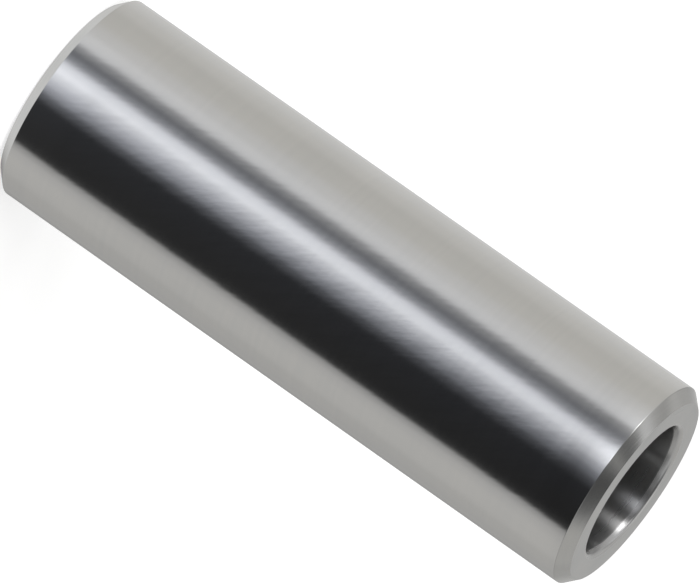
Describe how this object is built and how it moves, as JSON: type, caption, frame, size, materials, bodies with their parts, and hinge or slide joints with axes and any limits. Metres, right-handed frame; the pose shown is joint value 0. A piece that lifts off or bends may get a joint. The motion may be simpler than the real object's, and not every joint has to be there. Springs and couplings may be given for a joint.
{
  "type": "piston pin",
  "caption": "Hollow steel piston pin: a straight ground tube with chamfered ends and a plain through bore, which hinges an engine's connecting rod to its piston.",
  "frame": {"origin": "centre of the lower end face, on the pin's axis", "axes": "+Z along the pin's axis, from the lower end face to the upper one; X and Y are free, because the pin is round"},
  "size_m": [0.022, 0.022, 0.067],
  "materials": {
    "hardened_steel": "case-hardened steel: ground and polished outside, fine-turned chamfers, ground end faces, plain bore left duller"
  },
  "bodies": {
    "root": {"piston_pin": "hardened_steel"}
  },
  "joints": []
}
